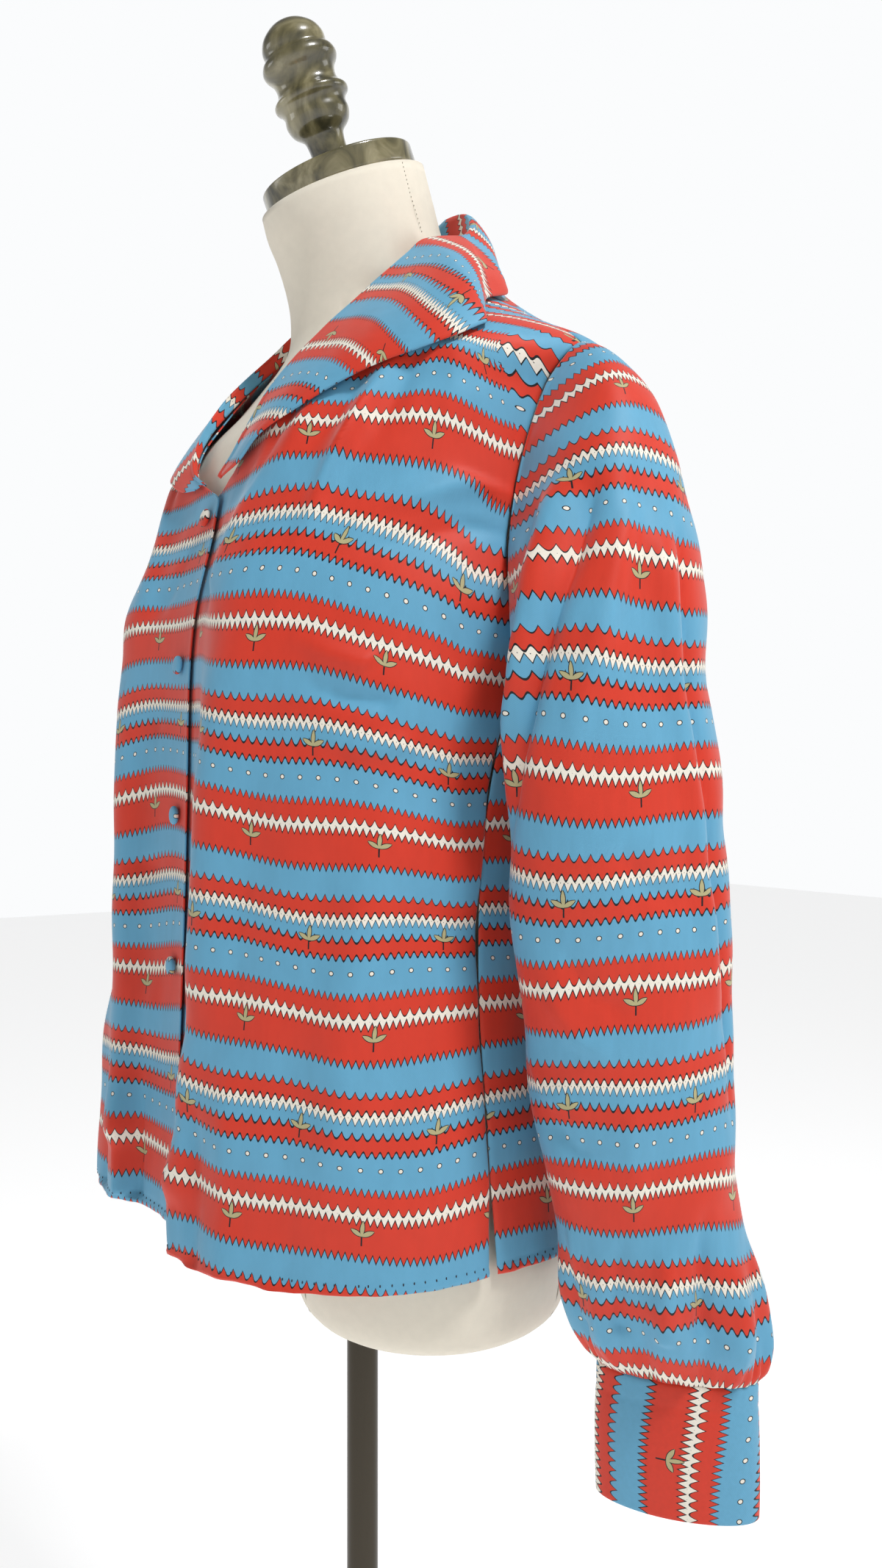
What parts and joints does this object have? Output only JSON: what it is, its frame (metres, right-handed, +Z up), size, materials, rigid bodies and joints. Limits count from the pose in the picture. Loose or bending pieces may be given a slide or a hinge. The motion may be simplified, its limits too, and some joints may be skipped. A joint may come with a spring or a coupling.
{
  "type": "button-down blouse on a limbless dress form with stand",
  "caption": "Button-down blouse with pointed one-piece collar, cuffed set-in sleeves and covered buttons, worn on a limbless linen dress form on a pole and round base",
  "frame": {"origin": "middle of the underside of the round base, on the floor", "axes": "+Z up, -Y the front of the blouse, +X the wearer's left"},
  "size_m": [0.5712, 0.33, 1.5566],
  "materials": {
    "print_cloth": "fine printed twill with a soft sheen, wavy bands of red, sky blue and cream",
    "print_cuff": "the same printed twill with its bands turned upright",
    "print_collar": "the same printed twill, interlined and pressed, on its own grain",
    "button_cloth": "self-covered domed button",
    "form_linen": "off-white linen drawn tight over the form",
    "lacquer": "glossy olive-brown marbled lacquer",
    "stand_metal": "dark bronze satin enamel on steel"
  },
  "bodies": {
    "root": {"button_1": "button_cloth", "button_2": "button_cloth", "button_3": "button_cloth", "button_4": "button_cloth", "cuff_button_left": "button_cloth", "cuff_button_right": "button_cloth", "front_left": "print_cloth", "front_right": "print_cloth", "back": "print_cloth", "collar": "print_collar", "sleeve_left": "print_cloth", "sleeve_right": "print_cloth", "cuff_left": "print_cuff", "cuff_right": "print_cuff", "form_body": "form_linen", "neck_cap": "lacquer", "finial": "lacquer", "pole": "stand_metal", "base": "stand_metal"}
  },
  "joints": []
}
